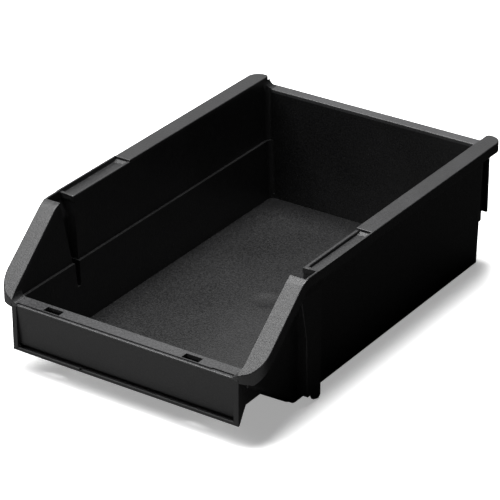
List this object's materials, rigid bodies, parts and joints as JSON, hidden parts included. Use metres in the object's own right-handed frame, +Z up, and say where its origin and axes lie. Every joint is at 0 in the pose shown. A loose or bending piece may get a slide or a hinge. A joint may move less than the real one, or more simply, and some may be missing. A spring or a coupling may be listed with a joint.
{
  "type": "stacking storage bin",
  "caption": "Open-fronted black plastic stacking bin with sloping side rims, a label panel, stacking channels and feet, and a rear hanging lip.",
  "frame": {"origin": "on the resting plane, under the middle of the overall box", "axes": "+X to the bin's right seen from its front, +Y from the label panel to the rear hanging lip, +Z up"},
  "size_m": [0.2, 0.3, 0.095],
  "materials": {
    "wall_plastic": "matte, fine moulded grain",
    "rim_plastic": "satin, fine moulded grain",
    "label_plastic": "matte, fine moulded grain"
  },
  "bodies": {
    "root": {"floor_pan": "wall_plastic", "front_wall": "wall_plastic", "rear_wall": "wall_plastic", "left_side_wall": "wall_plastic", "right_side_wall": "wall_plastic", "left_rail": "rim_plastic", "right_rail": "rim_plastic", "left_stack_channel": "rim_plastic", "right_stack_channel": "rim_plastic", "left_notch_guard": "rim_plastic", "right_notch_guard": "rim_plastic", "left_slope_rim": "rim_plastic", "right_slope_rim": "rim_plastic", "front_rim": "rim_plastic", "rear_rim": "rim_plastic", "left_rim_end": "rim_plastic", "right_rim_end": "rim_plastic", "label_panel": "label_plastic", "label_lip_left": "label_plastic", "label_lip_right": "label_plastic", "label_lip_bottom": "label_plastic", "left_apron_gusset": "wall_plastic", "right_apron_gusset": "wall_plastic", "left_stacking_foot": "wall_plastic", "right_stacking_foot": "wall_plastic", "rear_hanging_lip": "wall_plastic", "left_lip_rib": "wall_plastic", "right_lip_rib": "wall_plastic"}
  },
  "joints": []
}
